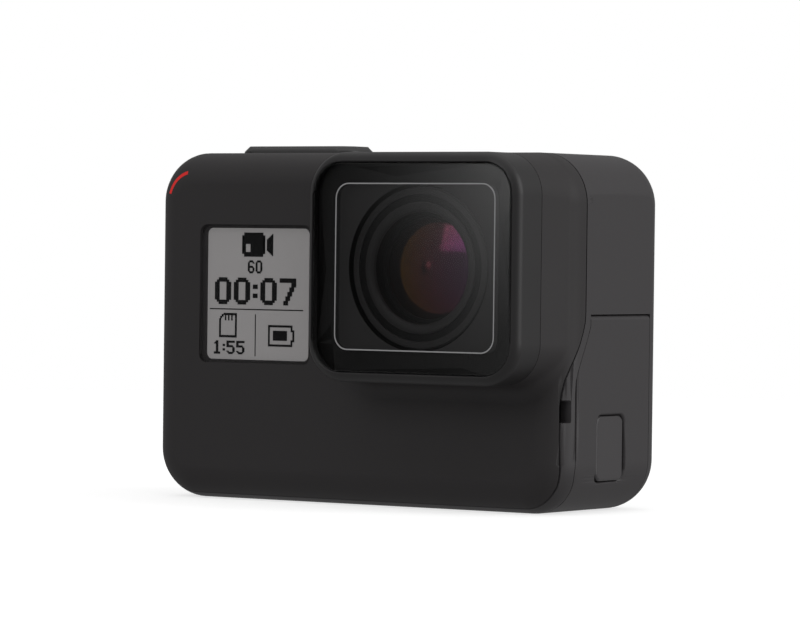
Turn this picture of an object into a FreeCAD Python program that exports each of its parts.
import FreeCAD, Part
import logging
import math
import os

import Sketcher

# Compact action camera, built as separate pieces.
# Millimetres. +Z is up, the lens looks along -Y, the origin is the middle of the footprint.

LOG = logging.getLogger("action_camera")
OUT_DIR = "parts"
FAR = 60.0

DIMENSIONS = {
    "half_width": 31.15, "body_top": 43.9, "body_front": -8.14, "body_rear": 16.5,
    "corner_round": 6.25, "front_round": 4.15, "rear_round": 4.95,
    "seam_gap": 0.1, "side_wall": 1.8, "front_wall": 1.5, "rear_inner": 14.4,
    "seam_upper": -2.9,
    "block_left": -0.9, "block_right": 30.0, "block_low": 15.65, "block_high": 43.72,
    "block_round": 5.2, "block_front": -11.2, "flare_left": 22.6, "cover_front": -16.5,
    "lens_across": 15.0, "lens_height": 29.7,
    "bayonet_outer": 12.6, "bayonet_inner": 11.35, "lug_radius": 11.95, "lug_half_angle": 20.0,
    "slot_half_angle": 35.0, "collar_outer": 11.2, "collar_inner": 10.4,
    "opening_radius": 6.83, "bezel_radius": 9.8, "barrel_radius": 9.6,
    "window_left": -23.4, "window_right": -6.1, "window_low": 17.3, "window_high": 34.8,
    "light_across": -24.9, "light_height": 37.65, "light_inner": 3.56, "light_outer": 4.02,
    "light_start": 103.0, "light_end": 165.0,
    "shutter_left": -24.3, "shutter_right": -6.6, "shutter_near": 0.66, "shutter_far": 7.66,
    "shutter_rise": 1.0, "button_gap": 0.15,
    "mode_near": 2.2, "mode_far": 6.8, "mode_low": 26.0, "mode_high": 34.0,
    "door_top": 24.2, "door_rear": 12.0, "door_wrap": 27.0, "door_wall": 1.6, "door_gap": 0.1,
    "latch_near": 0.15, "latch_far": 6.4, "latch_low": 3.9, "latch_high": 12.0,
    "hinge_pin": 0.45, "side_hinge_across": 30.45, "side_hinge_height": 23.5,
    "base_hinge_across": -27.6, "base_hinge_height": 1.6, "base_knuckle": 0.95,
    "base_sweep": 1.4,
    "base_right": 5.6, "base_near": -4.3, "base_far": 10.7, "base_top": 2.4,
    "cell_left": -26.4, "cell_right": 4.6, "cell_near": -4.0, "cell_far": 7.4,
    "cell_low": 3.3, "cell_high": 37.7, "bay_gap": 0.15, "bay_wall": 0.5,
    "glass_half": 25.6, "glass_low": 5.4, "glass_high": 38.6,
}

# Side view of the joint between the front shell and the rear frame, as (depth, height).
SEAM_LINE = [(-2.9, 24.6), (-3.0, 23.4), (-3.4, 22.2), (-4.1, 20.8), (-4.9, 19.4), (-5.7, 17.9),
             (-6.3, 16.4), (-6.6, 14.9), (-6.75, 13.0), (-6.75, 9.3), (-6.72, 6.8), (-6.6, 4.9),
             (-6.45, 3.6), (-6.4, 2.4), (-6.2, 0.6)]
# The same joint over the rest of the width, where it runs under the body ahead of the battery door.
BASE_LINE = [(-2.9, 9.0), (-6.2, 4.0)]
# Side view of the front edge of the side door.
DOOR_LINE = [(-1.64, 24.2), (-1.68, 22.8), (-2.25, 21.6), (-2.95, 20.2), (-3.7, 18.8), (-4.35, 17.5),
             (-4.75, 16.2), (-4.85, 14.6), (-4.8, 11.6), (-4.72, 7.2), (-4.7, 4.9), (-4.4, 3.3),
             (-4.2, 1.9), (-4.15, 0.7)]

os.makedirs(OUT_DIR, exist_ok=True)
doc = FreeCAD.newDocument("ActionCamera")
sheet = doc.addObject("Spreadsheet::Sheet", "dims")
NODES = []


class Size:
    """A length that carries both its value and the sheet expression it comes from."""

    def __init__(self, value, text):
        self.value = float(value)
        self.text = text

    def __add__(self, other):
        other = size(other)
        return Size(self.value + other.value, f"({self.text} + {other.text})")

    def __sub__(self, other):
        other = size(other)
        return Size(self.value - other.value, f"({self.text} - {other.text})")

    def __mul__(self, other):
        other = size(other)
        return Size(self.value * other.value, f"({self.text} * {other.text})")

    def __neg__(self):
        return Size(-self.value, f"(0 - {self.text})")

    def turned(self, angle):
        """This length as a radius at an angle in degrees: its two components."""
        angle = size(angle)
        turn = math.radians(angle.value)
        across = Size(self.value * math.cos(turn), f"({self.text} * cos({angle.text}))")
        along = Size(self.value * math.sin(turn), f"({self.text} * sin({angle.text}))")
        return across, along


class Dimensions:
    """Reads one driving dimension by name as a Size."""

    def __getattr__(self, name):
        return Size(DIMENSIONS[name], f"dims.{name}")


D = Dimensions()


def size(value):
    """A plain number as a Size, or a Size unchanged."""
    return value if isinstance(value, Size) else Size(value, f"({value:.4f})")


def fill_sheet():
    """Writes every driving dimension into the sheet with its alias."""
    for row, (name, value) in enumerate(DIMENSIONS.items(), start=1):
        sheet.set(f"A{row}", name)
        sheet.set(f"B{row}", str(value))
        sheet.setAlias(f"B{row}", name)
    doc.recompute()


def bind(item, prop, value):
    """Drives one property of a feature from the sheet."""
    item.setExpression(prop, size(value).text)


def keep(node, item):
    """Names the finished piece and lists it for export."""
    item.Label = node
    NODES.append((node, item))


# ---------------------------------------------------------------- sketches and sketched features

PLANES = {"x": "YZ_Plane", "y": "XZ_Plane", "z": "XY_Plane"}


def new_body(name):
    return doc.addObject("PartDesign::Body", name)


def new_sketch(body, axis, at, shift=(0.0, 0.0)):
    """A sketch square to one axis; its own two directions are the other two axes in order."""
    sketch = body.newObject("Sketcher::SketchObject", f"{body.Name}_sketch")
    plane = [item for item in body.Origin.OriginFeatures if item.Role == PLANES[axis]][0]
    sketch.AttachmentSupport = [(plane, "")]
    sketch.MapMode = "FlatFace"
    offset = -size(at) if axis == "y" else size(at)
    bind(sketch, ".AttachmentOffset.Base.z", offset)
    bind(sketch, ".AttachmentOffset.Base.x", shift[0])
    bind(sketch, ".AttachmentOffset.Base.y", shift[1])
    return sketch


def fix_point(sketch, index, end, point):
    """Holds one end of a sketch line at a driven place."""
    for kind, value in zip(("DistanceX", "DistanceY"), point):
        value = size(value)
        number = sketch.addConstraint(Sketcher.Constraint(kind, index, end, value.value))
        sketch.setExpression(f"Constraints[{number}]", value.text)


def draw_polygon(sketch, points):
    """A closed straight-sided outline."""
    points = [(size(across), size(along)) for across, along in points]
    count = len(points)
    for number in range(count):
        start = points[number]
        end = points[(number + 1) % count]
        sketch.addGeometry(Part.LineSegment(FreeCAD.Vector(start[0].value, start[1].value, 0),
                                            FreeCAD.Vector(end[0].value, end[1].value, 0)))
    for number in range(count):
        sketch.addConstraint(Sketcher.Constraint("Coincident", number, 2, (number + 1) % count, 1))
        fix_point(sketch, number, 1, points[number])


def add_arc(sketch, centre, radius, start, end):
    """An arc from start to end in degrees, about a plain point."""
    circle = Part.Circle(FreeCAD.Vector(centre[0], centre[1], 0), FreeCAD.Vector(0, 0, 1), radius)
    return sketch.addGeometry(Part.ArcOfCircle(circle, math.radians(start), math.radians(end)))


def draw_rounded(sketch, low, high, radius):
    """A rectangle with four rounded corners."""
    left, base = size(low[0]), size(low[1])
    right, top = size(high[0]), size(high[1])
    radius = size(radius)
    lines = [((left + radius, base), (right - radius, base)),
             ((right, base + radius), (right, top - radius)),
             ((right - radius, top), (left + radius, top)),
             ((left, top - radius), (left, base + radius))]
    corners = [((right - radius, base + radius), 270), ((right - radius, top - radius), 0),
               ((left + radius, top - radius), 90), ((left + radius, base + radius), 180)]
    for start, end in lines:
        index = sketch.addGeometry(Part.LineSegment(
            FreeCAD.Vector(start[0].value, start[1].value, 0),
            FreeCAD.Vector(end[0].value, end[1].value, 0)))
        fix_point(sketch, index, 1, start)
        fix_point(sketch, index, 2, end)
    for number, (centre, start) in enumerate(corners):
        plain = (centre[0].value, centre[1].value)
        index = add_arc(sketch, plain, radius.value, start, start + 90)
        sketch.addConstraint(Sketcher.Constraint("Coincident", index, 1, number, 2))
        sketch.addConstraint(Sketcher.Constraint("Coincident", index, 2, (number + 1) % 4, 1))
        bend = sketch.addConstraint(Sketcher.Constraint("Radius", index, radius.value))
        sketch.setExpression(f"Constraints[{bend}]", radius.text)


def draw_sector(sketch, inner, outer, start, end):
    """Part of a flat ring between two angles in degrees, about the sketch's own origin."""
    inner, outer, start, end = size(inner), size(outer), size(start), size(end)
    ends = [(inner.turned(start), outer.turned(start)), (outer.turned(end), inner.turned(end))]
    for first, last in ends:
        index = sketch.addGeometry(Part.LineSegment(
            FreeCAD.Vector(first[0].value, first[1].value, 0),
            FreeCAD.Vector(last[0].value, last[1].value, 0)))
        fix_point(sketch, index, 1, first)
        fix_point(sketch, index, 2, last)
    joins = [(outer, (0, 2), (1, 1)), (inner, (0, 1), (1, 2))]
    for radius, first, last in joins:
        index = add_arc(sketch, (0, 0), radius.value, start.value, end.value)
        sketch.addConstraint(Sketcher.Constraint("Coincident", index, 1, first[0], first[1]))
        sketch.addConstraint(Sketcher.Constraint("Coincident", index, 2, last[0], last[1]))
        bend = sketch.addConstraint(Sketcher.Constraint("Radius", index, radius.value))
        sketch.setExpression(f"Constraints[{bend}]", radius.text)


def draw_circle(sketch, radius, centre=(0.0, 0.0)):
    """A full circle at a driven place."""
    radius = size(radius)
    place = (size(centre[0]), size(centre[1]))
    circle = Part.Circle(FreeCAD.Vector(place[0].value, place[1].value, 0),
                         FreeCAD.Vector(0, 0, 1), radius.value)
    index = sketch.addGeometry(circle)
    fix_point(sketch, index, 3, place)
    bend = sketch.addConstraint(Sketcher.Constraint("Radius", index, radius.value))
    sketch.setExpression(f"Constraints[{bend}]", radius.text)


def sweep(body, axis, low, high, draw, *shape, cut=False, shift=(0.0, 0.0)):
    """Pads or pockets one drawn outline from low to high along an axis."""
    low, high = size(low), size(high)
    far_end = (axis == "y") != cut
    sketch = new_sketch(body, axis, high if far_end else low, shift)
    draw(sketch, *shape)
    kind = "PartDesign::Pocket" if cut else "PartDesign::Pad"
    feature = body.newObject(kind, f"{body.Name}_feature")
    feature.Profile = sketch
    bind(feature, "Length", high - low)
    sketch.Visibility = False
    body.Tip = feature
    return feature


def turn(body, points, height, across, cut=False):
    """Revolves an outline of (radius, depth) points about a line along the depth axis."""
    sketch = new_sketch(body, "z", height, shift=(across, 0.0))
    draw_polygon(sketch, points)
    kind = "PartDesign::Groove" if cut else "PartDesign::Revolution"
    feature = body.newObject(kind, f"{body.Name}_turned")
    feature.Profile = sketch
    feature.ReferenceAxis = (sketch, ["V_Axis"])
    feature.Angle = 360.0
    sketch.Visibility = False
    body.Tip = feature
    return feature


def edges_at(shape, axis, value, test=None):
    """Names of the edges lying flat at one value along an axis."""
    names = []
    low, high = f"{axis.upper()}Min", f"{axis.upper()}Max"
    for number, edge in enumerate(shape.Edges, start=1):
        box = edge.BoundBox
        flat = abs(getattr(box, low) - value) < 0.01 and abs(getattr(box, high) - value) < 0.01
        if flat and (test is None or test(box)):
            names.append(f"Edge{number}")
    return names


def soften(body, base, axis, value, radius, test=None, kind="Fillet"):
    """Rounds or bevels the edges lying flat at one value along an axis."""
    doc.recompute()
    names = edges_at(base.Shape, axis, size(value).value, test)
    feature = body.newObject(f"PartDesign::{kind}", f"{body.Name}_{kind.lower()}")
    feature.Base = (base, names)
    bind(feature, "Radius" if kind == "Fillet" else "Size", radius)
    body.Tip = feature
    return feature


# ---------------------------------------------------------------- plain solids

def block(name, low, high):
    """A square-cornered block between two corners."""
    item = doc.addObject("Part::Box", name)
    for prop, start, end in zip(("Length", "Width", "Height"), low, high):
        bind(item, prop, size(end) - size(start))
    for axis, start in zip("xyz", low):
        bind(item, f".Placement.Base.{axis}", start)
    return item


TURNS = {"x": (FreeCAD.Vector(0, 1, 0), 90), "y": (FreeCAD.Vector(1, 0, 0), -90),
         "z": (FreeCAD.Vector(0, 0, 1), 0)}


def rod(name, axis, start, length, radius):
    """A round bar from a start point along one axis."""
    item = doc.addObject("Part::Cylinder", name)
    turn_axis, angle = TURNS[axis]
    item.Placement = FreeCAD.Placement(FreeCAD.Vector(), FreeCAD.Rotation(turn_axis, angle))
    bind(item, "Radius", radius)
    bind(item, "Height", length)
    for letter, value in zip("xyz", start):
        bind(item, f".Placement.Base.{letter}", value)
    return item


def without(name, base, tool):
    item = doc.addObject("Part::Cut", name)
    item.Base = base
    item.Tool = tool
    return item


def joined(name, pieces):
    item = doc.addObject("Part::MultiFuse", name)
    item.Shapes = pieces
    return item


# ---------------------------------------------------------------- shared outlines

def outer_solid(body):
    """The full rounded outside of the camera body."""
    base = sweep(body, "y", D.body_front, D.body_rear, draw_rounded,
                 (-D.half_width, 0.0), (D.half_width, D.body_top), D.corner_round)
    front = soften(body, base, "y", D.body_front, D.front_round)
    return soften(body, front, "y", D.body_rear, D.rear_round)


def seam_outline(seam, gap, toward):
    """Everything behind (toward=1) or ahead of (toward=-1) a shell seam, in side view."""
    line = [(D.seam_upper + gap, 60.0)]
    line += [(size(depth) + gap, height) for depth, height in seam]
    line += [(size(seam[-1][0]) + gap, -9.0)]
    return line + [(FAR * toward, -9.0), (FAR * toward, 60.0)]


def door_outline(gap):
    """The side door in side view, grown by a gap all round."""
    line = [(size(depth) - gap, height) for depth, height in DOOR_LINE[1:]]
    first = (size(DOOR_LINE[0][0]) - gap, D.door_top + gap)
    last = (size(DOOR_LINE[-1][0]) - gap, -9.0)
    return [first] + line + [last, (D.door_rear + gap, -9.0), (D.door_rear + gap, D.door_top + gap)]


# ---------------------------------------------------------------- casings

def front_housing():
    """The front shell with its lens block, display window and light slot."""
    body = new_body("FrontHousing")
    outer_solid(body)
    narrow = new_sketch(body, "y", D.block_front)
    draw_rounded(narrow, (D.block_left, D.block_low), (D.block_right, D.block_high), D.block_round)
    wide = new_sketch(body, "y", 0.0)
    draw_rounded(wide, (D.block_left - 1.2, D.block_low - 1.4), (D.half_width + 0.25, D.body_top - 0.03),
                 D.block_round + 1.2)
    loft = body.newObject("PartDesign::AdditiveLoft", "LensBlock")
    loft.Profile = narrow
    loft.Sections = [wide]
    body.Tip = loft
    soften(body, loft, "y", D.body_front, 2.2)
    sweep(body, "x", -FAR, FAR, draw_polygon, seam_outline(BASE_LINE, -D.seam_gap, 1), cut=True)
    sweep(body, "x", D.flare_left - D.seam_gap, 34.0, draw_polygon,
          seam_outline(SEAM_LINE, -D.seam_gap, 1), cut=True)
    inner = D.half_width - D.side_wall
    sweep(body, "y", D.body_front + D.front_wall, FAR, draw_rounded, (-inner, D.side_wall),
          (inner, D.body_top - D.side_wall), 4.5, cut=True)
    sweep(body, "y", D.block_front + 1.57, D.body_front + 2.0, draw_rounded,
          (D.block_left + 1.7, D.block_low + 1.9), (D.block_right - 1.7, D.block_high - 1.7), 3.5, cut=True)
    sweep(body, "y", D.block_front - 1.0, D.block_front + 2.07, draw_circle, D.bayonet_outer,
          (D.lens_across, D.lens_height), cut=True)
    sweep(body, "y", -9.0, D.body_front + 0.55, draw_rounded, (D.window_left, D.window_low),
          (D.window_right, D.window_high), 1.1, cut=True)
    sweep(body, "y", -9.0, -5.0, draw_rounded, (D.window_left + 0.8, D.window_low + 0.4),
          (D.window_right - 0.6, D.window_high - 0.4), 0.8, cut=True)
    sweep(body, "y", -10.0, -5.0, draw_sector, D.light_inner, D.light_outer, D.light_start,
          D.light_end, cut=True, shift=(D.light_across, D.light_height))
    keep("front_housing", body)


def frame_housing():
    """The rear and side frame with its door openings, button holes and display recess."""
    body = new_body("FrameHousing")
    outer_solid(body)
    sweep(body, "x", -FAR, D.flare_left + D.seam_gap, draw_polygon,
          seam_outline(BASE_LINE, D.seam_gap, -1), cut=True)
    sweep(body, "x", D.flare_left, FAR, draw_polygon, seam_outline(SEAM_LINE, D.seam_gap, -1), cut=True)
    inner = D.half_width - D.side_wall
    sweep(body, "y", -9.0, D.rear_inner, draw_rounded, (-inner, D.side_wall),
          (inner, D.body_top - D.side_wall), 4.5, cut=True)
    sweep(body, "y", 15.2, 17.5, draw_rounded, (-D.glass_half - 0.05, D.glass_low - 0.05),
          (D.glass_half + 0.05, D.glass_high + 0.05), 2.4, cut=True)
    sweep(body, "y", 13.0, 15.5, draw_rounded, (-22.6, 7.6), (22.6, 36.4), 1.0, cut=True)
    sweep(body, "z", 41.0, 46.0, draw_rounded, (D.shutter_left - D.button_gap, D.shutter_near - D.button_gap),
          (D.shutter_right + D.button_gap, D.shutter_far + D.button_gap), 2.6, cut=True)
    sweep(body, "x", -33.0, -28.0, draw_rounded, (D.mode_near - D.button_gap, D.mode_low - D.button_gap),
          (D.mode_far + D.button_gap, D.mode_high + D.button_gap), 2.3, cut=True)
    sweep(body, "x", D.door_wrap - D.door_gap, 33.0, draw_polygon, door_outline(D.door_gap), cut=True)
    sweep(body, "z", -1.0, D.base_top + 0.1, draw_rounded, (D.base_hinge_across, D.base_near - D.door_gap),
          (D.base_right + D.door_gap, D.base_far + D.door_gap), 0.3, cut=True)
    sweep(body, "y", D.base_near - D.door_gap, D.base_far + D.door_gap, draw_circle, D.base_knuckle + 0.1,
          (D.base_hinge_across, D.base_hinge_height), cut=True)
    sweep(body, "y", D.base_near - D.door_gap, D.base_far + D.door_gap, draw_sector, 0.3, D.base_sweep,
          150.0, 265.0, cut=True, shift=(D.base_hinge_across, D.base_hinge_height))
    sweep(body, "y", D.base_near - 1.0, D.base_far + 1.0, draw_circle, D.hinge_pin + 0.05,
          (D.base_hinge_across, D.base_hinge_height), cut=True)
    sweep(body, "y", -2.35, 12.75, draw_circle, D.hinge_pin + 0.05,
          (D.side_hinge_across, D.side_hinge_height), cut=True)
    sweep(body, "x", 28.6, 33.0, draw_rounded, (-8.2, 11.23), (-5.48, 13.99), 0.25, cut=True)
    sweep(body, "x", D.half_width - 0.1, 33.0, draw_rounded, (DOOR_LINE[0][0], D.door_top + 0.1),
          (14.0, 43.0), 0.6, cut=True)
    sweep(body, "y", 14.0, 15.4, draw_circle, 0.52, (24.1, 36.9), cut=True)
    for row in range(4):
        low = 9.0 + 2.2 * row
        sweep(body, "x", -33.0, -28.0, draw_rounded, (8.8, low), (12.2, low + 0.9), 0.4, cut=True)
    keep("frame_housing", body)


def port_bulkhead():
    """The wall behind the side door, with the two connector mouths."""
    body = new_body("PortBulkhead")
    sweep(body, "x", 26.6, 27.6, draw_rounded, (-4.0, 3.4), (11.2, 22.0), 1.5)
    sweep(body, "x", 26.0, 28.0, draw_rounded, (2.0, 12.3), (5.6, 21.4), 1.6, cut=True)
    sweep(body, "x", 26.0, 28.0, draw_rounded, (2.2, 4.4), (5.4, 11.2), 0.4, cut=True)
    keep("port_bulkhead", body)


def battery_bay():
    """The open-bottomed box that holds the battery, with two posts for the board screws."""
    body = new_body("BatteryBay")
    reach = D.bay_gap + D.bay_wall
    sweep(body, "z", D.cell_low + 0.1, D.cell_high + 0.6, draw_rounded,
          (D.cell_left - reach, D.cell_near - reach), (D.cell_right + reach, D.cell_far + reach), 1.2)
    for height in (7.0, 34.0):
        sweep(body, "y", D.cell_far + 0.4, 11.3, draw_circle, 1.5, (-22.5, height))
    sweep(body, "z", 2.0, D.cell_high + 0.15, draw_rounded,
          (D.cell_left - D.bay_gap, D.cell_near - D.bay_gap),
          (D.cell_right + D.bay_gap, D.cell_far + D.bay_gap), 0.8, cut=True)
    for height in (7.0, 34.0):
        sweep(body, "y", 9.0, 13.0, draw_circle, 0.7, (-22.5, height), cut=True)
    keep("battery_bay", body)


# ---------------------------------------------------------------- removable lens cover

def lens_cover_frame():
    """The square cover body with the round collar and three locking lugs behind it."""
    body = new_body("LensCoverFrame")
    back = D.block_front - D.seam_gap
    base = sweep(body, "y", D.cover_front, back, draw_rounded, (D.block_left, D.block_low),
                 (D.block_right, D.block_high), D.block_round)
    soften(body, base, "y", D.cover_front, 1.3)
    place = (D.lens_across, D.lens_height)
    collar_end = D.block_front + 1.57
    sweep(body, "y", -14.2, collar_end, draw_circle, D.collar_outer, place)
    for number in range(3):
        middle = 90.0 + 120.0 * number
        sweep(body, "y", collar_end - 0.6, collar_end, draw_sector, D.collar_inner + 0.2, D.lug_radius,
              -D.lug_half_angle + middle, D.lug_half_angle + middle, shift=place)
    sweep(body, "y", D.cover_front - 1.0, -15.1, draw_rounded, (D.block_left + 0.95, D.block_low + 1.2),
          (D.block_right - 0.95, D.block_high - 1.2), 3.9, cut=True)
    sweep(body, "y", -17.0, -8.0, draw_circle, D.collar_inner, place, cut=True)
    deep, near = D.block_front - 1.03, D.block_front + 0.87
    turn(body, [(D.collar_outer, deep), (D.collar_outer + 2.0, deep), (D.collar_outer + 2.0, near),
                (D.collar_outer, near)], D.lens_height, D.lens_across, cut=True)
    keep("lens_cover_frame", body)


def lens_cover_mask():
    """The dark sheet behind the cover glass, open at the lens."""
    body = new_body("LensCoverMask")
    sweep(body, "y", -15.3, -15.12, draw_rounded, (D.block_left + 1.0, D.block_low + 1.25),
          (D.block_right - 1.0, D.block_high - 1.25), 3.85)
    sweep(body, "y", -17.0, -14.0, draw_circle, 10.2, (D.lens_across, D.lens_height), cut=True)
    keep("lens_cover_mask", body)


def lens_cover_trim():
    """The fine bright line framing the window, in a groove of the glass."""
    body = new_body("LensCoverTrim")
    sweep(body, "y", -16.43, -16.3, draw_rounded, (3.46, 19.6), (26.75, 39.95), 1.9)
    sweep(body, "y", -17.0, -16.0, draw_rounded, (3.61, 19.75), (26.6, 39.8), 1.75, cut=True)
    keep("lens_cover_trim", body)


def lens_cover_glass():
    """The window glass, grooved for its trim line."""
    body = new_body("LensCoverGlass")
    base = sweep(body, "y", -16.42, -15.3, draw_rounded, (D.block_left + 1.0, D.block_low + 1.25),
                 (D.block_right - 1.0, D.block_high - 1.25), 3.85)
    soften(body, base, "y", -16.42, 0.2)
    sweep(body, "y", -17.0, -16.3, draw_rounded, (3.46, 19.6), (26.75, 39.95), 1.9, cut=True)
    sweep(body, "y", -16.42, -16.2, draw_rounded, (3.61, 19.75), (26.6, 39.8), 1.75)
    keep("lens_cover_glass", body)


def ring(name, inner, outer, low, high):
    """A plain turned ring about the lens line."""
    body = new_body(name)
    turn(body, [(inner, low), (outer, low), (outer, high), (inner, high)], D.lens_height, D.lens_across)
    return body


def lens_cover_seal():
    """The soft ring between the cover and the lens block."""
    keep("lens_cover_seal", ring("LensCoverSeal", 11.6, 12.4, D.block_front - 0.98, D.block_front - 0.09))


def bayonet_ring():
    """The fixed ring whose three lips hold the cover's lugs."""
    body = ring("BayonetRing", D.bayonet_inner, D.bayonet_outer, D.block_front, D.block_front + 1.97)
    low, high = D.block_front + 0.87, D.block_front + 1.67
    turn(body, [(D.bayonet_inner - 0.5, low), (D.lug_radius + 0.2, low), (D.lug_radius + 0.2, high),
                (D.bayonet_inner - 0.5, high)], D.lens_height, D.lens_across, cut=True)
    for number in range(3):
        middle = 30.0 + 120.0 * number
        sweep(body, "y", D.block_front - 0.6, low + 0.4, draw_sector, D.bayonet_inner - 0.3,
              D.lug_radius + 0.2, -D.slot_half_angle + middle, D.slot_half_angle + middle, cut=True,
              shift=(D.lens_across, D.lens_height))
    keep("bayonet_ring", body)


# ---------------------------------------------------------------- lens and sensor

def optics():
    """The lens barrel, its glass and its rings, the filter, the sensor and their holder."""
    place = (D.lens_height, D.lens_across)
    bezel = new_body("LensBezel")
    turn(bezel, [(D.opening_radius, -14.4), (D.opening_radius, -14.75), (7.4, -15.0), (8.45, -15.0),
                 (8.6, -14.85), (9.55, -14.85), (9.65, -15.0), (D.bezel_radius, -15.0),
                 (D.bezel_radius, -14.4)], *place)
    keep("lens_bezel", bezel)
    barrel = new_body("LensBarrel")
    turn(barrel, [(D.opening_radius, -14.4), (D.barrel_radius, -14.4), (D.barrel_radius, -3.4),
                  (8.0, -3.4), (8.0, -0.9), (4.2, -0.9), (4.2, -3.9), (5.0, -3.9), (5.0, -8.9),
                  (5.6, -8.9), (5.6, -10.1), (6.6, -10.1), (6.6, -12.4), (D.opening_radius, -12.4)], *place)
    keep("lens_barrel", barrel)
    retainer = new_body("LensRetainer")
    turn(retainer, [(6.2, -13.1), (6.78, -13.1), (6.78, -12.6), (6.2, -12.6)], *place)
    keep("lens_retainer", retainer)
    elements = [("lens_front_element", 6.55, -12.4, -10.9, 1.25, -0.9),
                ("lens_middle_element", 4.95, -8.8, -6.6, 0.7, 0.0),
                ("lens_rear_element", 4.15, -3.7, -1.6, 0.5, 0.0)]
    for node, radius, low, high, crown, hollow in elements:
        body = new_body(node.title().replace("_", ""))
        front, back = [], []
        for step in range(9):
            share = step / 8.0
            bend = 1.0 - share * share
            front.append((radius * share, low - crown * bend))
            back.append((radius * (1.0 - share), high + hollow * (1.0 - (1.0 - share) ** 2)))
        turn(body, front + back, *place)
        keep(node, body)
    tube = rod("HolderTube", "y", (D.lens_across, -3.3, D.lens_height), 2.2, 9.5)
    flange = block("HolderFlange", (6.2, -1.1, 20.6), (23.8, 1.6, 38.8))
    shell = joined("HolderShell", [tube, flange])
    bore = rod("HolderBore", "y", (D.lens_across, -4.0, D.lens_height), 3.3, 8.05)
    well = block("HolderWell", (9.9, -0.8, 25.3), (20.1, 2.0, 34.1))
    keep("lens_holder", without("LensHolder", shell, joined("HolderSpace", [bore, well])))
    keep("ir_filter", block("IrFilter", (10.6, -0.6, 26.0), (19.4, -0.2, 33.4)))
    keep("image_sensor", block("ImageSensor", (11.0, 0.3, 26.4), (19.0, 1.65, 33.0)))
    keep("sensor_board", block("SensorBoard", (6.2, 1.65, 21.5), (23.8, 2.45, 38.2)))


# ---------------------------------------------------------------- displays, lights and electronics

def status_display():
    """Front window, its gasket and the small display, with the red light pipe."""
    window = new_body("StatusWindow")
    base = sweep(window, "y", D.body_front + 0.05, D.body_front + 0.5, draw_rounded,
                 (D.window_left + 0.1, D.window_low + 0.1), (D.window_right - 0.1, D.window_high - 0.1), 1.0)
    soften(window, base, "y", D.body_front + 0.05, 0.2, kind="Chamfer")
    keep("status_window", window)
    gasket = new_body("StatusGasket")
    sweep(gasket, "y", -6.6, -6.2, draw_rounded, (-23.3, 17.1), (-5.9, 35.0), 0.8)
    sweep(gasket, "y", -7.0, -6.0, draw_rounded, (-22.6, 17.7), (-6.6, 34.4), 0.4, cut=True)
    keep("status_gasket", gasket)
    panel = new_body("StatusDisplay")
    sweep(panel, "y", -7.55, -5.8, draw_rounded, (-22.55, 17.75), (-6.75, 34.35), 0.8)
    keep("status_display", panel)
    pipe = new_body("StatusLight")
    sweep(pipe, "y", -7.72, -5.9, draw_sector, D.light_inner + 0.02, D.light_outer - 0.02,
          D.light_start + 0.3, D.light_end - 0.3, shift=(D.light_across, D.light_height))
    keep("status_light", pipe)


def rear_display():
    """Touch glass, its gasket and the panel behind it."""
    glass = new_body("RearGlass")
    sweep(glass, "y", 15.25, D.body_rear, draw_rounded, (-D.glass_half, D.glass_low),
          (D.glass_half, D.glass_high), 2.35)
    keep("rear_glass", glass)
    keep("rear_display", block("RearDisplay", (-22.2, 13.4, 8.0), (22.2, 15.1, 36.0)))
    keep("rear_light", rod("RearLight", "y", (24.1, 14.5, 36.9), 0.7, 0.5))


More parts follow.
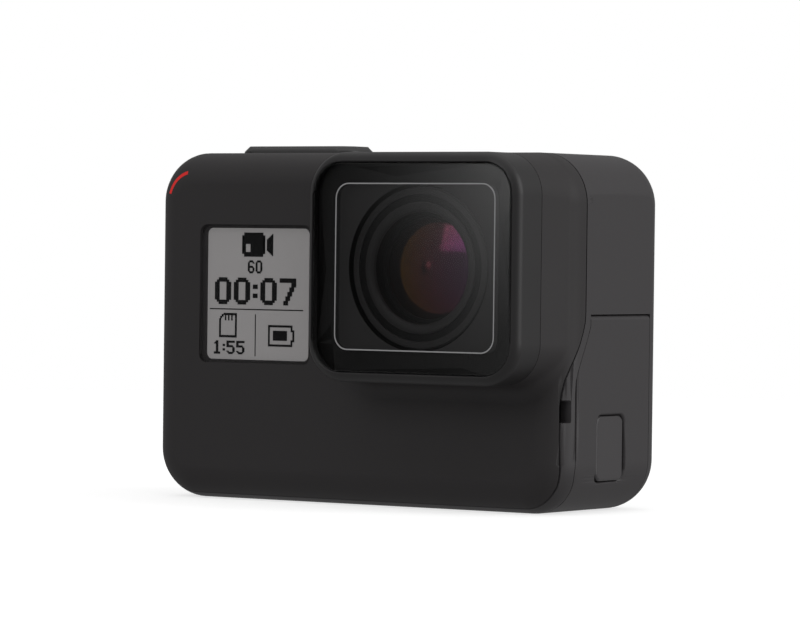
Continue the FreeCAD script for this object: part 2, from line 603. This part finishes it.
def electronics():
    """Boards, chips, connectors and the small parts they carry."""
    board = block("BoardBlank", (-24.4, 11.3, 4.6), (24.0, 12.3, 38.4))
    places = [(-22.5, 7.0), (-22.5, 34.0), (21.5, 9.0), (21.5, 35.0)]
    holes = [rod(f"BoardHole{number}", "y", (x, 10.5, z), 2.5, 0.75)
             for number, (x, z) in enumerate(places)]
    keep("main_board", without("MainBoard", board, joined("BoardHoles", holes)))
    screws = []
    for number, (x, z) in enumerate(places):
        shank = rod(f"Shank{number}", "y", (x, 9.6, z), 2.9, 0.68)
        head = rod(f"Head{number}", "y", (x, 12.3, z), 0.6, 1.3)
        screws.append(joined(f"Screw{number}", [shank, head]))
    keep("board_screws", joined("BoardScrews", screws))
    keep("processor", block("Processor", (8.0, 10.0, 20.0), (20.0, 11.3, 32.0)))
    keep("memory_chip", block("MemoryChip", (-4.0, 10.2, 22.0), (4.0, 11.3, 32.0)))
    plate = block("SpreaderPlate", (-7.0, 9.1, 6.0), (25.6, 9.9, 38.0))
    posts = [rod(f"Post{number}", "y", (21.5, 9.9, z), 1.4, 1.5) for number, z in enumerate((9.0, 35.0))]
    bores = [rod(f"PostBore{number}", "y", (21.5, 9.0, z), 3.0, 0.7)
             for number, z in enumerate((9.0, 35.0))]
    keep("heat_spreader", without("HeatSpreader", joined("SpreaderBody", [plate] + posts),
                                  joined("SpreaderBores", bores)))
    keep("card_socket", without("CardSocket", block("SocketBlank", (-20.6, 8.3, 3.4), (-8.4, 10.4, 19.6)),
                                block("SocketSlot", (-20.15, 8.65, 3.0), (-8.85, 10.0, 19.2))))
    keep("port_board", block("PortBoard", (18.6, 5.8, 3.6), (26.4, 6.6, 22.0)))
    usb = new_body("UsbPort")
    sweep(usb, "x", 20.4, 27.6, draw_rounded, (2.15, 12.4), (5.45, 21.3), 1.55)
    sweep(usb, "x", 21.2, 28.5, draw_rounded, (2.45, 12.7), (5.15, 21.0), 1.3, cut=True)
    sweep(usb, "x", 21.0, 27.3, draw_rounded, (3.4, 13.8), (4.2, 19.9), 0.2)
    keep("usb_c_port", usb)
    video = new_body("VideoPort")
    sweep(video, "x", 20.4, 27.6, draw_rounded, (2.35, 4.5), (5.25, 11.1), 0.4)
    sweep(video, "x", 21.2, 28.5, draw_rounded, (2.65, 4.8), (4.95, 10.8), 0.25, cut=True)
    sweep(video, "x", 21.0, 27.3, draw_rounded, (3.5, 5.8), (4.1, 9.8), 0.2)
    keep("micro_video_port", video)
    keep("speaker", block("Speaker", (-29.2, 8.4, 8.0), (-25.0, 12.8, 18.0)))
    keep("side_microphone", rod("SideMicrophone", "x", (26.9, -5.4, 12.6), 1.9, 1.1))
    keep("wireless_antenna", block("Antenna", (10.0, 4.0, 41.2), (26.0, 9.0, 41.8)))
    keep("battery_contacts", block("Contacts", (-4.0, 8.1, 26.0), (4.0, 8.9, 36.0)))
    keep("button_board", block("ButtonBoard", (-24.0, 1.0, 38.4), (-7.0, 7.4, 39.0)))
    keep("shutter_switch", rod("ShutterSwitch", "z", (-15.55, 4.16, 39.0), 1.3, 2.0))
    keep("mode_switch", block("ModeSwitch", (-28.0, 2.8, 28.0), (-27.2, 6.2, 32.0)))


# ---------------------------------------------------------------- buttons

def shutter_button():
    """The long top button with bevelled ends and the lip that keeps it in."""
    body = new_body("ShutterButton")
    top = D.body_top + D.shutter_rise
    base = sweep(body, "z", 42.0, top, draw_rounded, (D.shutter_left, D.shutter_near),
                 (D.shutter_right, D.shutter_far), 2.45)
    soften(body, base, "z", top, 0.7, kind="Chamfer")
    sweep(body, "z", 41.2, 42.0, draw_rounded, (D.shutter_left + 0.5, D.shutter_near - 0.8),
          (D.shutter_right + 0.8, D.shutter_far + 0.8), 2.6)
    keep("shutter_button", body)


def mode_button():
    """The small side button on the left, with the lip that keeps it in."""
    body = new_body("ModeButton")
    sweep(body, "x", -D.half_width, -29.25, draw_rounded, (D.mode_near, D.mode_low),
          (D.mode_far, D.mode_high), 2.2)
    sweep(body, "x", -29.25, -28.65, draw_rounded, (D.mode_near - 0.7, D.mode_low - 0.7),
          (D.mode_far + 0.7, D.mode_high + 0.7), 2.6)
    keep("mode_button", body)


# ---------------------------------------------------------------- side door

def side_door():
    """The lower side door that wraps under the edge, with its hinge barrel and latch pocket."""
    body = new_body("SideDoor")
    outer_solid(body)
    inside = D.half_width - D.door_wall
    sweep(body, "y", -20.0, 20.0, draw_rounded, (-inside, D.door_wall),
          (inside, D.body_top - D.door_wall), 4.65, cut=True)
    sweep(body, "x", -FAR, D.door_wrap, draw_rounded, (-30.0, -10.0), (30.0, 60.0), 1.0, cut=True)
    outline = door_outline(0.0)
    ahead = outline[:-2] + [(-30.0, -9.0), (-30.0, 60.0), (outline[0][0], 60.0)]
    sweep(body, "x", 0.0, 33.0, draw_polygon, ahead, cut=True)
    sweep(body, "x", 0.0, 33.0, draw_polygon, [(-35.0, D.door_top), (35.0, D.door_top), (35.0, 60.0),
                                               (-35.0, 60.0)], cut=True)
    trimmed = sweep(body, "x", 0.0, 33.0, draw_polygon, [(D.door_rear, -9.0), (35.0, -9.0),
                                                         (35.0, 60.0), (D.door_rear, 60.0)], cut=True)
    soften(body, trimmed, "z", D.door_top, 0.6, test=lambda box: box.XMin > 31.0)
    sweep(body, "x", 28.5, 30.2, draw_rounded, (D.latch_near - 0.8, D.latch_low - 0.3),
          (D.latch_far + 0.8, D.latch_high + 0.8), 1.2)
    sweep(body, "x", 28.4, 30.2, draw_rounded, (0.4, 3.6), (7.2, 22.1), 1.5)
    pocket = sweep(body, "x", 28.95, 33.0, draw_rounded, (D.latch_near, D.latch_low),
                   (D.latch_far, D.latch_high), 1.0, cut=True)
    soften(body, pocket, "x", D.half_width, 0.3, kind="Chamfer",
           test=lambda box: box.ZMin > 3.0 and box.ZMax < 13.0 and box.YMin > 0.0 and box.YMax < 7.0)
    sweep(body, "y", -3.0, 13.0, draw_circle, D.hinge_pin, (D.side_hinge_across, D.side_hinge_height),
          cut=True)
    keep("side_door", body)


def side_door_parts():
    """The door's seal, its hinge pin and the latch button set in its pocket."""
    seal = new_body("SideDoorSeal")
    sweep(seal, "x", 27.65, 28.4, draw_rounded, (0.4, 3.6), (7.2, 22.1), 1.5)
    sweep(seal, "x", 27.0, 29.0, draw_rounded, (1.3, 4.2), (6.3, 21.55), 1.2, cut=True)
    keep("side_door_seal", seal)
    keep("side_hinge_pin", rod("SideHingePin", "y", (D.side_hinge_across, -2.3, D.side_hinge_height),
                               15.0, D.hinge_pin))
    button = new_body("DoorLatchButton")
    base = sweep(button, "x", 29.9, 31.0, draw_rounded, (D.latch_near + 0.1, D.latch_low + 0.1),
                 (D.latch_far - 0.1, D.latch_high - 0.1), 0.9)
    soften(button, base, "x", 31.0, 0.25, kind="Chamfer")
    keep("door_latch_button", button)


# ---------------------------------------------------------------- battery door and what it covers

def battery_door():
    """The bottom door with its hinge barrel, latch pocket and seal."""
    body = new_body("BatteryDoor")
    outer_solid(body)
    sweep(body, "z", D.base_top, FAR, draw_rounded, (-40.0, -20.0), (40.0, 30.0), 1.0, cut=True)
    sides = [((-40.0, -20.0), (D.base_hinge_across, 30.0)), ((D.base_right, -20.0), (40.0, 30.0)),
             ((-40.0, -20.0), (40.0, D.base_near)), ((-40.0, D.base_far), (40.0, 30.0))]
    for low, high in sides:
        corners = [low, (high[0], low[1]), high, (low[0], high[1])]
        sweep(body, "z", -2.0, 10.0, draw_polygon, corners, cut=True)
    sweep(body, "y", D.base_near, D.base_far, draw_circle, D.base_knuckle,
          (D.base_hinge_across, D.base_hinge_height))
    sweep(body, "y", -7.0, 13.0, draw_circle, D.hinge_pin,
          (D.base_hinge_across, D.base_hinge_height), cut=True)
    sweep(body, "z", -1.0, 1.2, draw_rounded, (-2.5, 0.4), (5.0, 5.8), 0.9, cut=True)
    keep("battery_door", body)
    seal = new_body("BatteryDoorSeal")
    sweep(seal, "z", D.base_top, 3.0, draw_rounded, (-26.2, -4.0), (5.0, 10.4), 1.6)
    sweep(seal, "z", 2.0, 4.0, draw_rounded, (-25.3, -3.1), (4.1, 9.5), 1.1, cut=True)
    keep("battery_door_seal", seal)
    keep("battery_hinge_pin", rod("BatteryHingePin", "y", (D.base_hinge_across, D.base_near - 0.95,
                                                           D.base_hinge_height), 16.9, D.hinge_pin))
    latch = new_body("BatteryLatch")
    base = sweep(latch, "z", 0.15, 1.15, draw_rounded, (-2.4, 0.5), (3.6, 5.7), 0.8)
    soften(latch, base, "z", 0.15, 0.2, kind="Chamfer")
    for number in range(3):
        near = -1.4 + 1.5 * number
        sweep(latch, "z", 0.0, 0.4, draw_rounded, (near, 1.2), (near + 0.7, 5.0), 0.3, cut=True)
    keep("battery_latch", latch)


def battery_and_card():
    """The battery pack with its pull tab, and the memory card."""
    pack = new_body("BatteryPack")
    base = sweep(pack, "z", D.cell_low, D.cell_high, draw_rounded, (D.cell_left, D.cell_near),
                 (D.cell_right, D.cell_far), 0.9)
    soften(pack, base, "z", D.cell_low, 0.3)
    keep("battery_pack", pack)
    tab = new_body("BatteryTab")
    sweep(tab, "z", 2.75, D.cell_low, draw_rounded, (-14.0, 0.6), (-7.0, 2.6), 0.6)
    keep("battery_pull_tab", tab)
    card = new_body("MemoryCard")
    sweep(card, "y", 8.85, 9.75, draw_polygon, [(-20.0, 3.5), (-9.0, 3.5), (-9.0, 14.2), (-10.2, 15.4),
                                                (-10.2, 18.4), (-20.0, 18.4)])
    keep("memory_card", card)


# ---------------------------------------------------------------- build and export

def export_nodes():
    """Checks every object, then writes one file for each piece."""
    doc.recompute()
    faults = 0
    for item in doc.Objects:
        if "Invalid" in item.State or "Error" in item.State:
            LOG.error("object %s is in state %s", item.Label, item.State)
            faults += 1
    for node, item in NODES:
        shape = item.Shape
        if shape.isNull() or not shape.isValid():
            LOG.error("piece %s is not a valid solid", node)
            faults += 1
            continue
        shape.exportStep(os.path.join(OUT_DIR, f"{node}.step"))
        box = shape.BoundBox
        print(f"{node:22s} solids {len(shape.Solids)} volume {shape.Volume:9.2f} "
              f"x {box.XMin:.2f}..{box.XMax:.2f} y {box.YMin:.2f}..{box.YMax:.2f} "
              f"z {box.ZMin:.2f}..{box.ZMax:.2f}")
    if faults:
        raise RuntimeError(f"{faults} faults in the model")


def build():
    """Builds every piece in the order it would be assembled."""
    fill_sheet()
    front_housing()
    frame_housing()
    port_bulkhead()
    battery_bay()
    lens_cover_frame()
    lens_cover_glass()
    lens_cover_mask()
    lens_cover_trim()
    lens_cover_seal()
    bayonet_ring()
    optics()
    status_display()
    rear_display()
    electronics()
    shutter_button()
    mode_button()
    side_door()
    side_door_parts()
    battery_door()
    battery_and_card()
    export_nodes()


build()
